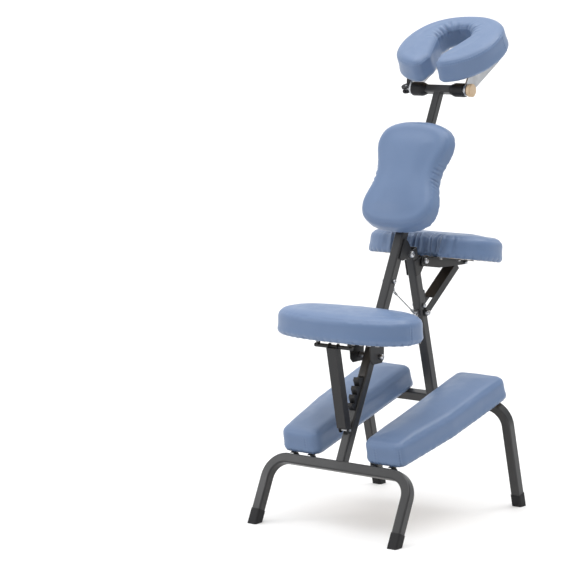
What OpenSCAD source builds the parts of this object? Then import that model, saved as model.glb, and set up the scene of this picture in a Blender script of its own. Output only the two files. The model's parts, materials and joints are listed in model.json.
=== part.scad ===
// Kneeling massage chair: a folding frame of square steel tube with a seat,
// two knee rests, an armrest, a chest pad and a tilting face cradle.
//
// X is the sitter's right, Y the way the sitter faces, Z up. The origin is at
// the middle of the bounding box, on the floor. Two leaning frames cross at one
// hinge: the rear frame carries the seat, the chest pad and the face cradle,
// and the front frame carries the armrest. Most parts are drawn in the local
// frame of the tube they are fixed to, where z runs up the tube and y points
// forward out of its front face.

/* [Tube frames] */
// Outer width of the square frame tube
tube = 25; // [22:0.5:28]
// Wall thickness of the frame tube
tube_wall = 1.8; // [1.5:0.1:2]
// Corner radius of the frame tube
tube_round = 4; // [2:0.5:5]
// Bend radius of the U frames, at the tube's centre line
bend_r = 52; // [45:1:60]
// Forward lean of the rear frame, in degrees
rear_lean = 25.1; // [24.8:0.1:25.4]
// Rearward lean of the front frame, in degrees
front_lean = 15.3; // [15:0.1:15.6]
// Y of the line on which the rear feet stand
rear_foot_y = -329.5; // [-332:0.5:-326]
// Half distance between the rear legs
rear_leg_x = 208; // [200:1:215]
// Half distance between the front legs
front_leg_x = 216; // [208:1:222]
// Distance up the rear frame to its crossbar
rear_bar_t = 171; // [168:1:174]
// Distance up the front frame to its crossbar
front_bar_t = 277; // [274:1:280]

/* [Frame hinge] */
// Distance up the rear post to the frame hinge
hinge_t = 733; // [728:1:738]
// Distance of the hinge pin in front of the rear post's centre line
hinge_off_rear = 37.5; // [36:0.5:40]
// Distance of the hinge pin behind the front post's centre line
hinge_off_front = 25; // [24.5:0.5:27]
// Diameter of the frame hinge pin
hinge_pin_d = 10; // [8:0.5:12]

/* [Head post] */
// Distance up the rear frame to the top of the outer post
post_top_t = 1030; // [1015:1:1040]
// Outer width of the telescoping inner post and of the T-bar
inner_tube = 20; // [18:0.5:20.4]
// Distance up the rear frame to the axis of the T-bar
tbar_t = 1160; // [1150:1:1165]
// Half length of the T-bar with its end fittings
tbar_half = 77; // [74:1:80]
// Diameter of the T-bar's end fittings
fitting_d = 34; // [32:0.5:36]
// Diameter of the clamping rod through the T-bar
rod_d = 8; // [6:0.5:9]

/* [Face cradle] */
// Rise of the face cradle above the horizontal, going forward, in degrees
cradle_tilt = 28; // [26:0.5:30]
// Half width of the face cushion
face_half_w = 141; // [135:1:145]
// Half length of the face cushion, along the arms
face_half_l = 129; // [124:1:132]
// Thickness of the face cushion, with its base
face_thick = 61; // [56:1:66]
// Distance along the arms from the T-bar axis to the cushion's middle
face_mid = 96; // [92:1:98]
// Radius of the face opening
face_slot = 44; // [40:1:48]

/* [Chest pad] */
// Distance up the rear frame to the chest pad's lower edge
chest_low_t = 767; // [766:1:774]
// Length of the chest pad along the post
chest_len = 288; // [280:1:292]
// Half width of the chest pad's lobes
chest_half_w = 110; // [104:1:114]
// Half width of the chest pad's waist
chest_waist = 90; // [80:1:92]
// Thickness of the chest cushion above its board
chest_thick = 38; // [34:1:42]

/* [Seat] */
// Half width of the seat pad
seat_half_w = 197; // [190:1:202]
// Half depth of the seat pad
seat_half_d = 97; // [92:1:98]
// Height of the seat's underside
seat_z = 467; // [464:1:470]
// Thickness of the seat pad, with its board
seat_thick = 66; // [60:1:72]
// Distance up the rear post to the seat's pivot bolt
seat_pivot_t = 455; // [452:1:458]

/* [Armrest] */
// Half width of the armrest pad
arm_half_w = 184; // [178:1:190]
// Depth of the armrest pad, front to back
arm_depth = 198; // [190:1:204]
// Thickness of the armrest pad, with its board
arm_thick = 60; // [55:1:65]
// Downward slope of the armrest, going forward, in degrees
arm_slope = 8.5; // [8:0.5:9]

/* [Knee rests] */
// Length of a knee rest
knee_len = 444; // [430:1:444]
// Thickness of a knee rest's pad, with its board
knee_thick = 61; // [56:1:64]
// Inner edge of a knee rest
knee_in = 66; // [63:1:72]
// Outer edge of a knee rest at its rear end
knee_out_rear = 183; // [180:1:190]
// Outer edge of a knee rest at its front end
knee_out_front = 215; // [208:1:222]

/* [Hidden] */
$fn = 48;

running = 0.06;        // radial clearance of a pin that turns in its hole
gap = 0.4;             // space between pieces that slide or pass each other
plate = 3;             // thickness of the steel bracket plates
board = 8;             // thickness of the plywood boards under the cushions
bolt_d = 8;            // shank of the frame's through bolts
leg_end = 12;          // distance up a leg to the end of its tube

rear_up = [0, sin(rear_lean), cos(rear_lean)];
rear_fore = [0, cos(rear_lean), -sin(rear_lean)];
front_up = [0, -sin(front_lean), cos(front_lean)];
front_fore = [0, cos(front_lean), sin(front_lean)];

rear_foot = [0, rear_foot_y, 0];
hinge = rear_foot + hinge_t * rear_up + hinge_off_rear * rear_fore;
front_hinge_t = (hinge[2] + hinge_off_front * sin(front_lean)) / cos(front_lean);
front_foot_y = hinge[1] + front_hinge_t * sin(front_lean)
    + hinge_off_front * cos(front_lean);
front_foot = [0, front_foot_y, 0];

rear_bar = rear_foot + rear_bar_t * rear_up;
front_bar = front_foot + front_bar_t * front_up;
tbar = rear_foot + tbar_t * rear_up;
seat_pivot = rear_foot + seat_pivot_t * rear_up;

// The armrest's pivot stands in front of the front post, on two ears.
arm_pivot_t = 643;
arm_pivot_off = 24;
arm_pivot = front_foot + arm_pivot_t * front_up + arm_pivot_off * front_fore;
strut_foot_t = 510;
strut_foot_off = 5;
strut_foot = front_foot + strut_foot_t * front_up + strut_foot_off * front_fore;
arm_strut_len = 178;
arm_strut_rise = 36.5;

// The seat's strut hangs from a crossbar under the seat's rear edge.
seat_mid_y = rear_foot_y + 106;
strut_bar = [0, rear_foot_y + 42, 453.5];
strut_end_t = 258;
strut_end_off = -23;
strut_end = rear_foot + strut_end_t * rear_up + strut_end_off * rear_fore;

// The knee rests turn about the rear crossbar and lie on the front one.
knee_rear_gap = 16.4;
knee_front_gap = 13.4;
bar_to_bar = norm(front_bar - rear_bar);
knee_rise = atan2(front_bar[2] - rear_bar[2], front_bar[1] - rear_bar[1])
    + asin((knee_front_gap - knee_rear_gap) / bar_to_bar);

// ---- Placing -------------------------------------------------------------

module in_rear_frame() {
    translate(rear_foot) rotate([-rear_lean, 0, 0]) children();
}

module in_front_frame() {
    translate(front_foot) rotate([front_lean, 0, 0]) children();
}

// z is normal to the cushion, y runs along the arms
module in_cradle() {
    translate(tbar) rotate([cradle_tilt, 0, 0]) children();
}

module in_armrest() {
    translate(arm_pivot) rotate([-arm_slope, 0, 0]) children();
}

module in_knee_rest() {
    translate(rear_bar) rotate([knee_rise, 0, 0]) children();
}

module both_sides() {
    children();
    mirror([1, 0, 0]) children();
}

// a cylinder along X, centred on x
module rod_x(d, len, x = 0) {
    translate([x, 0, 0]) rotate([0, 90, 0]) cylinder(d = d, h = len, center = true);
}

// a 2D shape in the YZ plane, extruded along X between two values
module slab_x(x_from, x_to) {
    translate([x_from, 0, 0]) rotate([90, 0, 90])
        linear_extrude(height = x_to - x_from) children();
}

// ---- Shapes --------------------------------------------------------------

module rounded_square(size, r) {
    square([size, size - 2 * r], center = true);
    square([size - 2 * r, size], center = true);
    for (x = [-1, 1], y = [-1, 1])
        translate([x, y] * (size / 2 - r)) circle(r = r, $fn = 24);
}

module tube_section(size, wall, r) {
    difference() {
        rounded_square(size, r);
        rounded_square(size - 2 * wall, r - wall);
    }
}

module frame_tube(len) {
    linear_extrude(height = len) tube_section(tube, tube_wall, tube_round);
}

// A U of tube standing on two legs, in a frame's local axes
module u_tube(leg_x, bar_t) {
    both_sides() {
        translate([leg_x, 0, leg_end]) frame_tube(bar_t - bend_r - leg_end);
        translate([leg_x - bend_r, 0, bar_t - bend_r]) rotate([90, 0, 0])
            rotate_extrude(angle = 90, $fn = 96)
                translate([bend_r, 0]) tube_section(tube, tube_wall, tube_round);
        translate([0, 0, bar_t]) rotate([0, 90, 0]) frame_tube(leg_x - bend_r);
    }
}

// A round-cornered rubber cap, cut flat where it stands on the floor
module foot_caps(leg_x, foot_y, lean) {
    cap = tube + 3;
    cap_len = 34;
    sink = 20;
    difference() {
        translate([0, foot_y, 0]) rotate([lean, 0, 0]) both_sides()
            translate([leg_x, 0, -sink]) difference() {
                linear_extrude(height = cap_len + sink) rounded_square(cap, 5.5);
                translate([0, 0, leg_end + sink])
                    linear_extrude(height = cap_len)
                        rounded_square(tube, tube_round);
            }
        translate([-400, foot_y - 100, -100]) cube([800, 200, 100]);
    }
}

function power(v, n) = sign(v) * pow(abs(v), n);

// An oval between an ellipse and a rectangle, as a list of points
function oval(a, b, squareness, count = 72) = [
    for (i = [0 : count - 1])
        let (w = 360 * i / count)
        [a * power(cos(w), 2 / squareness), b * power(sin(w), 2 / squareness)]
];

// A hex-headed bolt along X, with a nut at its far end
module through_bolt(d, half) {
    head_h = d * 0.6;
    rod_x(d, 2 * half + 2);
    both_sides() rod_x(d * 1.75, head_h, half + 1 + head_h / 2);
}

module screw_heads(points) {
    for (p = points)
        translate(p) {
            cylinder(d = 9, h = 3, $fn = 24);
            translate([0, 0, 2]) cylinder(d = 4, h = 9, $fn = 24);
        }
}

// A round knob with finger grooves, its screw pointing along +Y
module clamp_knob(screw_len) {
    knob_d = 38;
    rotate([-90, 0, 0]) {
        difference() {
            translate([0, 0, -16]) cylinder(d = knob_d, h = 16);
            for (i = [0 : 6])
                rotate(i * 360 / 7) translate([knob_d / 2 + 3, 0, -17])
                    cylinder(d = 11, h = 18, $fn = 24);
        }
        cylinder(d = 16, h = 5);
        cylinder(d = 6, h = screw_len);
    }
}

// ---- Rear frame ----------------------------------------------------------

module rear_post() {
    translate([0, 0, rear_bar_t + tube / 2 - 1])
        frame_tube(post_top_t - rear_bar_t - tube / 2 + 1);
}

module rear_frame() {
    color("#2b2c2f") in_rear_frame() difference() {
        union() {
            u_tube(rear_leg_x, rear_bar_t);
            rear_post();
        }
        translate([0, 0, seat_pivot_t]) rod_x(bolt_d + 0.1, tube + 4);
        translate([0, 0, cable_rear_t]) rod_x(6.1, tube + 4);
        translate([0, 20, height_knob_t]) rotate([90, 0, 0])
            cylinder(d = 6.8, h = 40);
    }
}

module rear_feet() {
    color("#161617") foot_caps(rear_leg_x, rear_foot_y, -rear_lean);
}

cheek_x = tube / 2;
cheek_r = hinge_off_front - tube / 2 - 0.5;

module rear_hinge_bracket() {
    color("#232427") in_rear_frame() both_sides() difference() {
        slab_x(cheek_x, cheek_x + plate) {
            translate([hinge_off_rear, hinge_t]) circle(r = cheek_r);
            polygon([
                [-4, hinge_t - 26], [tube / 2, hinge_t - 26],
                [hinge_off_rear - 4, hinge_t - cheek_r + 0.6],
                [hinge_off_rear, hinge_t + cheek_r], [tube / 2, hinge_t + 26],
                [-4, hinge_t + 26]
            ]);
        }
        translate([0, hinge_off_rear, hinge_t]) rod_x(hinge_pin_d, 60);
    }
}

module hinge_pin() {
    color("#b9bcc0") translate(hinge) {
        rod_x(hinge_pin_d, 2 * (cheek_x + plate) + 4);
        both_sides() rod_x(16, 5, cheek_x + plate + 2.5);
    }
}

// Teeth on the rear face of the rear post: the strut's pin sits under one
rack_top_t = 398;
rack_low_t = 318;
rack_step = 22;
module seat_rack() {
    base = -tube / 2;
    tip = base - 19;
    teeth = floor((rack_top_t - rack_low_t) / rack_step);
    color("#232427") in_rear_frame() slab_x(-8, 8)
        polygon(concat(
            [[base, rack_low_t - 8], [base, rack_top_t]],
            [for (i = [0 : teeth], k = [0, 1, 2])
                let (t = rack_top_t - 6 - i * rack_step)
                k == 0 ? [base - 7, t] : k == 1 ? [tip, t - 3] : [tip, t - 11]]
        ));
}

module seat_pivot_bolt() {
    color("#b9bcc0") translate(seat_pivot) {
        through_bolt(bolt_d, seat_plate_x + plate);
        both_sides() rod_x(14, seat_plate_x - tube / 2 - 2 * gap,
            (seat_plate_x + tube / 2) / 2);
    }
}

// Plastic collar that guides the inner post, clamped by the height knob
height_knob_t = 1012;
module post_collar() {
    height = 34;
    color("#18191b") in_rear_frame()
        translate([0, 0, post_top_t - height + 6]) difference() {
            union() {
                linear_extrude(height = height) rounded_square(tube + 7, 5);
                translate([0, 24, height_knob_t - post_top_t + height - 6])
                    rotate([90, 0, 0]) cylinder(d = 17, h = 11);
            }
            translate([0, 0, -1]) linear_extrude(height = height - 5)
                rounded_square(tube, tube_round);
            linear_extrude(height = height + 1)
                rounded_square(inner_tube + 2 * gap, 3);
            translate([0, 30, height_knob_t - post_top_t + height - 6])
                rotate([90, 0, 0]) cylinder(d = 6.8, h = 30);
        }
}

// ---- Restraint cable -----------------------------------------------------

cable_rear_t = 648;
cable_front_t = 531;
cable_lug_off = 22;
cable_lug_drop = 16;
cable_rear = rear_foot + (cable_rear_t - cable_lug_drop) * rear_up
    + cable_lug_off * rear_fore;
cable_front = front_foot + (cable_front_t - cable_lug_drop) * front_up
    - cable_lug_off * front_fore;

// A bolt through the post, with a lug below it that holds the cable's end
module cable_bolt(side) {
    through_bolt(6, tube / 2);
    translate([0, 0, -cable_lug_drop]) difference() {
        slab_x(-4, 4) {
            translate([side * cable_lug_off, 0]) circle(r = 7);
            translate([side > 0 ? tube / 2 : -cable_lug_off, -7])
                square([cable_lug_off - tube / 2, 14]);
        }
        translate([0, side * cable_lug_off, 0]) rod_x(4, 20);
    }
}

module rear_cable_bolt() {
    color("#b9bcc0") in_rear_frame() translate([0, 0, cable_rear_t]) cable_bolt(1);
}

module front_cable_bolt() {
    color("#b9bcc0") in_front_frame() translate([0, 0, cable_front_t])
        cable_bolt(-1);
}

module restraint_cable() {
    run = cable_front - cable_rear;
    len = norm(run);
    end_gap = 9;
    color("#8d9196") translate(cable_rear)
        rotate([acos(run[2] / len) * (run[1] > 0 ? -1 : 1), 0, 0]) {
            translate([0, 0, end_gap]) cylinder(d = 3, h = len - 2 * end_gap);
            for (z = [end_gap, len - end_gap - 14])
                translate([0, 0, z]) cylinder(d = 6, h = 14);
        }
}

// ---- Front frame ---------------------------------------------------------

front_post_top = front_hinge_t + 5;
module front_frame() {
    start = front_bar_t + tube / 2 - 1;
    color("#2b2c2f") in_front_frame() difference() {
        union() {
            u_tube(front_leg_x, front_bar_t);
            translate([0, 0, start]) frame_tube(front_post_top - start);
        }
        translate([0, 0, cable_front_t]) rod_x(6.1, tube + 4);
        translate([0, strut_foot_off, strut_foot_t]) rod_x(bolt_d + 0.1, tube + 4);
    }
}

module front_feet() {
    color("#161617") foot_caps(front_leg_x, front_foot_y, front_lean);
}

module front_hinge_knuckle() {
    r = 11;
    half = tube / 2 - gap;
    color("#232427") in_front_frame() difference() {
        slab_x(-half, half) {
            translate([-hinge_off_front, front_hinge_t]) circle(r = r);
            translate([-hinge_off_front, front_hinge_t - r])
                square([hinge_off_front - tube / 2, r + 5]);
        }
        translate([0, -hinge_off_front, front_hinge_t])
            rod_x(hinge_pin_d + 2 * running, 60);
    }
}

ear_x = tube / 2;
module armrest_ears() {
    color("#232427") in_front_frame() both_sides() difference() {
        slab_x(ear_x, ear_x + plate) {
            translate([arm_pivot_off, arm_pivot_t]) circle(r = 11);
            polygon([
                [-tube / 2, arm_pivot_t - 28], [4, arm_pivot_t - 28],
                [arm_pivot_off + 9, arm_pivot_t - 6],
                [arm_pivot_off, arm_pivot_t + 11], [-tube / 2, arm_pivot_t + 12]
            ]);
        }
        translate([0, arm_pivot_off, arm_pivot_t]) rod_x(bolt_d, 60);
    }
}

module armrest_pivot_bolt() {
    color("#b9bcc0") translate(arm_pivot) through_bolt(bolt_d, arm_plate_x + plate);
}

// A tooth on the post's front face that the folded strut lies against
module armrest_stop() {
    face = tube / 2;
    color("#232427") in_front_frame() slab_x(-10, 10)
        polygon([[face, 546], [face, 572], [face + 1.2, 572], [face + 1.2, 562],
            [face + 6, 566], [face + 6, 546]]);
}

module armrest_strut_bolt() {
    color("#b9bcc0") translate(strut_foot) through_bolt(bolt_d, strut_x + 2.6);
}

// ---- Armrest -------------------------------------------------------------

arm_plate_x = 17.2;    // inner face of the armrest's bracket plates
arm_under = 12;        // height of the armrest board above the pivot
arm_rear = -26;        // rear edge of the armrest, from its pivot
arm_bay_y = 30;        // front of the bay in its rear edge, from its pivot
strut_x = tube / 2 + 1; // inner face of the armrest strut's cheeks

module armrest_strut() {
    half_depth = 10;
    cheek = 2.2;
    web_from = 46;
    color("#232427") translate(strut_foot) rotate([arm_strut_rise, 0, 0])
        difference() {
            union() {
                both_sides() slab_x(strut_x, strut_x + cheek) {
                    circle(r = half_depth);
                    translate([0, -half_depth])
                        square([arm_strut_len, 2 * half_depth]);
                }
                slab_x(-strut_x - cheek, strut_x + cheek)
                    translate([web_from, half_depth - 2])
                        square([arm_strut_len - web_from, 2]);
            }
            rod_x(bolt_d + 2 * running, 60);
        }
}

arm_bolt_z = 5.4;      // height of the bracket's end bolt above the pivot

module armrest_bracket() {
    reach = 200;
    color("#232427") in_armrest() {
        both_sides() difference() {
            slab_x(arm_plate_x, arm_plate_x + plate) {
                polygon([
                    [-13, -8], [-8, -14], [70, -14], [reach, 2], [reach, arm_under],
                    [-13, arm_under]
                ]);
            }
            rod_x(bolt_d + 2 * running, 80);
            translate([0, reach - 12, arm_bolt_z]) rod_x(5, 80);
        }
        both_sides() translate([arm_plate_x, 8, arm_under - 2])
            cube([22, reach - 8, 2]);
    }
}

module armrest_end_bolt() {
    color("#b9bcc0") in_armrest() translate([0, 188, arm_bolt_z])
        through_bolt(5, arm_plate_x + plate);
}

// An oval with a bay in its rear edge, where the post stands
module armrest_outline(shrink) {
    bay_r = 74;
    a = arm_half_w - shrink;
    b = arm_depth / 2 - shrink;
    difference() {
        translate([0, arm_depth / 2 + arm_rear]) polygon(oval(a, b, 2.5));
        translate([0, arm_bay_y - bay_r]) circle(r = bay_r + shrink, $fn = 72);
    }
}

module armrest_board() {
    color("#c9a878") in_armrest() translate([0, 0, arm_under + gap])
        linear_extrude(height = board) armrest_outline(12);
}

module armrest_pad() {
    color("#7f92ba") in_armrest() translate([0, 0, arm_under + gap])
        difference() {
            linear_extrude(height = arm_thick) armrest_outline(0);
            translate([0, 0, -1]) linear_extrude(height = board + 1)
                armrest_outline(12);
        }
}

module armrest_screws() {
    color("#b9bcc0") in_armrest() translate([0, 0, arm_under - 2 - 3])
        screw_heads([for (x = [-31, 31], y = [54, 140]) [x, y, 0]]);
}

// ---- Seat ----------------------------------------------------------------

seat_plate_x = 28.5;   // inner face of the seat's side plates

module seat_bracket() {
    top = seat_z - seat_pivot[2];
    color("#232427") translate(seat_pivot) both_sides() {
        difference() {
            slab_x(seat_plate_x, seat_plate_x + plate)
                polygon([[-46, top], [-40, -6], [-30, -16], [6, -16],
                    [15, -7], [15, top]]);
            rod_x(bolt_d + 2 * running, 90);
        }
        translate([seat_plate_x, -46, top - plate]) cube([26, 54, plate]);
    }
}

module seat_crossbar() {
    lug = 12;
    color("#232427") translate(strut_bar) {
        rod_x(10, 110);
        both_sides() translate([44, -lug / 2, 0])
            cube([4, lug, seat_z - strut_bar[2]]);
        both_sides() translate([30, -lug / 2, seat_z - strut_bar[2] - 2])
            cube([28, lug, 2]);
    }
}

module seat_outline(shrink) {
    translate([0, seat_mid_y])
        polygon(oval(seat_half_w - shrink, seat_half_d - shrink, 2.5));
}

module seat_board() {
    color("#c9a878") translate([0, 0, seat_z + gap])
        linear_extrude(height = board) seat_outline(12);
}

module seat_pad() {
    color("#7f92ba") translate([0, 0, seat_z + gap]) difference() {
        linear_extrude(height = seat_thick) seat_outline(0);
        translate([0, 0, -1]) linear_extrude(height = board + 1) seat_outline(12);
    }
}

module seat_screws() {
    color("#b9bcc0") translate([0, 0, seat_z - plate - 3])
        screw_heads([for (x = [-44, 44], y = [-38, -16])
            [x, seat_pivot[1] + y, 0]]);
}

strut_pin_d = 6;

// A channel hung from the crossbar; the pin at its foot engages the rack
module seat_strut() {
    run = strut_end - strut_bar;
    len = norm(run);
    turn = atan2(run[2], run[1]);
    cheek_in = 11;
    cheek_out = 13.5;
    end_r = 8;
    back = 13;
    color("#232427") translate(strut_bar) rotate([turn, 0, 0]) difference() {
        union() {
            both_sides() slab_x(cheek_in, cheek_out) {
                circle(r = end_r);
                translate([0, -back]) square([len - end_r, back + end_r]);
                translate([len - end_r, -end_r]) square([end_r, 2 * end_r]);
                translate([len, 0]) circle(r = end_r);
            }
            slab_x(-cheek_out, cheek_out) translate([0, -back])
                square([len - end_r, 2]);
        }
        rod_x(10 + 2 * running, 60);
        translate([0, len, 0]) rod_x(strut_pin_d, 60);
    }
}

module seat_strut_bolt() {
    color("#b9bcc0") translate(strut_end) rod_x(strut_pin_d, 33);
}

// ---- Knee rests ----------------------------------------------------------

knee_front = 5;        // how far ahead of the rear crossbar a knee rest starts
clip_r = 16.5;

module knee_outline(shrink) {
    r = 26 - shrink;
    x0 = knee_in + shrink;
    y0 = knee_front + shrink;
    y1 = knee_front + knee_len - shrink;
    rear = knee_out_rear - shrink;
    front = knee_out_front - shrink;
    hull() {
        for (p = [[x0 + r, y0 + r], [x0 + r, y1 - r], [rear - r, y0 + r],
                  [front - r, y1 - r], [front - 7 - r, y1 * 0.45]])
            translate(p) circle(r = r, $fn = 32);
    }
}

module knee_board() {
    color("#c9a878") in_knee_rest() translate([0, 0, knee_rear_gap])
        linear_extrude(height = board) knee_outline(9);
}

module knee_pad() {
    color("#7f92ba") in_knee_rest() translate([0, 0, knee_rear_gap])
        difference() {
            linear_extrude(height = knee_thick) knee_outline(0);
            translate([0, 0, -1]) linear_extrude(height = board + 1)
                knee_outline(9);
        }
}

// Nylon hooks under the board, which seat it over the crossbar's front and let it turn
module knee_clips() {
    wide = 14;
    strap = 4;
    tip = -9;           // how far below the crossbar's middle a hook reaches
    color("#18191b") in_knee_rest() for (x = [94, 146])
        difference() {
            union() {
                rod_x(2 * (clip_r + strap), wide, x);
                translate([x - wide / 2, 0, knee_rear_gap - strap])
                    cube([wide, 58, strap]);
            }
            rod_x(2 * clip_r, wide + 2, x);
            translate([x - wide, -50, -50]) cube([2 * wide, 50, 100]);
            translate([x - wide, -1, tip - 50]) cube([2 * wide, 50, 50]);
            translate([x - wide, -1, knee_rear_gap]) cube([2 * wide, 80, 40]);
        }
}

module right_knee_clips() { knee_clips(); }
module right_knee_board() { knee_board(); }
module right_knee_pad() { knee_pad(); }
module left_knee_clips() { mirror([1, 0, 0]) knee_clips(); }
module left_knee_board() { mirror([1, 0, 0]) knee_board(); }
module left_knee_pad() { mirror([1, 0, 0]) knee_pad(); }

// ---- Chest pad -----------------------------------------------------------

sleeve_t = 862;
sleeve_len = 84;
chest_knob_t = 904;
sleeve_w = tube + 2 * gap + 5;

module chest_sleeve() {
    color("#232427") in_rear_frame() translate([0, 0, sleeve_t]) difference() {
        union() {
            linear_extrude(height = sleeve_len) rounded_square(sleeve_w, 5);
            translate([0, sleeve_w / 2 + 7, chest_knob_t - sleeve_t])
                rotate([90, 0, 0]) cylinder(d = 16, h = 8);
        }
        translate([0, 0, -1]) linear_extrude(height = sleeve_len + 2)
            rounded_square(tube + 2 * gap, tube_round);
        translate([0, 40, chest_knob_t - sleeve_t]) rotate([90, 0, 0])
            cylinder(d = 6.8, h = 30);
    }
}

module chest_plate() {
    color("#232427") in_rear_frame()
        translate([-45, -chest_off, sleeve_t - 20])
            cube([90, chest_off - sleeve_w / 2, sleeve_len + 40]);
}

// An hourglass, as points of its half width along its length
function chest_half(v) =
    let (u = 2 * v - 1)
    (chest_waist + (chest_half_w - chest_waist) * pow(sin(90 * min(1, abs(u) * 1.6)), 2))
        * pow(1 - pow(abs(u), 6), 0.42);

module chest_outline(k) {
    steps = 36;
    right = [for (i = [0 : steps])
        let (v = (1 - cos(180 * i / steps)) / 2)
        [chest_half(v) * k, (v - 0.5) * chest_len * k]];
    left = [for (i = [1 : steps - 1])
        let (p = right[steps - i])
        [-p[0], p[1]]];
    polygon(concat(right, left));
}

module on_chest(off) {
    in_rear_frame() translate([0, -off, chest_low_t + chest_len / 2])
        rotate([90, 0, 0]) children();
}
chest_off = sleeve_w / 2 + 2;

module chest_board() {
    color("#c9a878") on_chest(chest_off) linear_extrude(height = board)
        chest_outline(0.9);
}

module chest_pad() {
    color("#7f92ba") on_chest(chest_off) difference() {
        linear_extrude(height = board + chest_thick) chest_outline(1);
        translate([0, 0, -1]) linear_extrude(height = board + 1)
            chest_outline(0.9);
    }
}

module chest_screws() {
    color("#b9bcc0") on_chest(chest_off - 2 - 3)
        screw_heads([for (x = [-34, 34], y = [-56, 36]) [x, y, 0]]);
}

module chest_knob() {
    color("#141415") in_rear_frame()
        translate([0, sleeve_w / 2 + 13, chest_knob_t]) rotate([0, 0, 180])
            clamp_knob(12);
}

module height_knob() {
    color("#141415") in_rear_frame() translate([0, 30, height_knob_t])
        rotate([0, 0, 180]) clamp_knob(18.6);
}

// ---- Head post and face cradle -------------------------------------------

head_post_low = 860;
module head_post() {
    color("#2b2c2f") in_rear_frame() difference() {
        union() {
            translate([0, 0, head_post_low])
                linear_extrude(height = tbar_t - head_post_low - inner_tube / 2 + 1)
                    tube_section(inner_tube, 1.6, 3);
            translate([0, 0, tbar_t]) rotate([0, 90, 0])
                linear_extrude(height = 2 * tbar_half - 6, center = true)
                    tube_section(inner_tube, 1.6, 3);
        }
        translate([0, 0, tbar_t]) rod_x(rod_d + 0.2, 40);
    }
}

// Plastic caps over the T-bar's ends, tapered towards its middle
module tbar_fittings() {
    inner_end = 36;
    taper = 11;
    color("#18191b") in_rear_frame() translate([0, 0, tbar_t]) both_sides()
        difference() {
            rotate([0, 90, 0]) {
                translate([0, 0, inner_end + taper])
                    cylinder(d = fitting_d, h = tbar_half - inner_end - taper);
                translate([0, 0, inner_end])
                    cylinder(d1 = inner_tube + 5, d2 = fitting_d, h = taper);
            }
            translate([inner_end - 1, 0, 0]) rotate([0, 90, 0])
                linear_extrude(height = tbar_half - inner_end - 2)
                    rounded_square(inner_tube, 3);
            rod_x(rod_d + 0.1, 200);
        }
}

arm_x = 80;            // inner face of a cradle arm
arm_wide = 4;          // thickness of a cradle arm

module clamp_rod() {
    color("#b9bcc0") in_cradle() difference() {
        rod_x(rod_d, 204, -9.5);
        translate([lever_x, 0, 0])
            cylinder(d = lever_pin_d + 0.04, h = 20, center = true);
    }
}

module cradle_washers() {
    color("#d3d5d8") translate(tbar) both_sides() difference() {
        union() {
            rod_x(28, arm_x - tbar_half - 2 * gap, (arm_x + tbar_half) / 2);
            rod_x(18, 1.6, arm_x + arm_wide + 1.4);
        }
        rod_x(rod_d, 220);
    }
}

module wood_knob() {
    color("#d8b483") translate(tbar) difference() {
        union() {
            rod_x(33, 9, 93.5);
            rod_x(30, 12, 93.5);
        }
        translate([83, 0, 0]) rod_x(rod_d + 2 * running, 21);
    }
}

lever_x = -99;         // where the cam lever's pin crosses the rod
lever_pin_d = 5;
// A forked head round the rod, with a handle that bends up beside the cradle
module cam_lever() {
    head_d = 25;
    head_h = 16;
    tip = [41, 20.5];
    tip_d = 11;
    color("#141415") in_cradle() translate([lever_x, 0, 0]) difference() {
        union() {
            cylinder(d = head_d, h = head_h, center = true);
            slab_x(-6, 5) {
                polygon([[0, -6], [20, -6], [27, 9], [tip[0], tip[1] - tip_d / 2],
                    [tip[0], tip[1] + tip_d / 2], [24, tip[1] + tip_d / 2], [12, 7], [0, 7]]);
                translate(tip) circle(d = tip_d);
            }
        }
        cylinder(d = head_d + 4, h = rod_d + 1, center = true);
        cylinder(d = lever_pin_d + 2 * running, h = 30, center = true);
    }
}

module lever_pin() {
    color("#b9bcc0") in_cradle() translate([lever_x, 0, 0])
        cylinder(d = lever_pin_d, h = 17, center = true);
}

base_h = 33;           // height of the cradle base above the T-bar axis
base_thick = 7;        // thickness of the cradle base
module cradle_arms() {
    reach = 206;
    color("#c3c6ca") in_cradle() both_sides() difference() {
        slab_x(arm_x, arm_x + arm_wide) {
            circle(r = 14);
            polygon([[0, -14], [40, -13], [reach - 46, -9], [reach - 16, 2],
                [reach, base_h - 8], [reach, base_h], [26, base_h], [-6, 12.6]]);
        }
        rod_x(rod_d + 0.04, 200);
        translate([0, 60, 12]) rod_x(5, 200);
    }
}

// The face opening: a teardrop that narrows to a mouth towards the sitter
module face_slot_shape(grow) {
    centre = face_mid + 22;
    neck = 13 + grow;
    neck_y = face_mid - 76;
    rear_y = face_mid - face_half_l - 5;
    translate([0, centre]) circle(r = face_slot + grow, $fn = 48);
    polygon([
        [face_slot + grow - 2, centre - 14], [neck, neck_y], [neck + 12, rear_y],
        [-neck - 12, rear_y], [-neck, neck_y], [-face_slot - grow + 2, centre - 14]
    ]);
}

// The horseshoe, with the tips of its two lobes rounded
module face_outline(shrink) {
    tip_r = 22 - shrink * 0.7;
    offset(r = tip_r, $fn = 40) offset(delta = -tip_r) difference() {
        translate([0, face_mid])
            polygon(oval(face_half_w - shrink, face_half_l - shrink, 2.25));
        face_slot_shape(shrink * 0.6);
    }
}

module cradle_base() {
    color("#d2bc98") in_cradle() translate([0, 0, base_h + gap])
        linear_extrude(height = base_thick)
            face_outline(16);
}

module face_cushion() {
    color("#7f92ba") in_cradle() translate([0, 0, base_h + gap]) difference() {
        linear_extrude(height = face_thick) face_outline(0);
        translate([0, 0, -1]) linear_extrude(height = base_thick + 1)
            face_outline(16);
    }
}

module cradle_screws() {
    color("#b9bcc0") in_cradle() both_sides()
        translate([0, 60, 12]) rod_x(5, 8, arm_x + arm_wide / 2);
}

// ---- Output --------------------------------------------------------------

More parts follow.
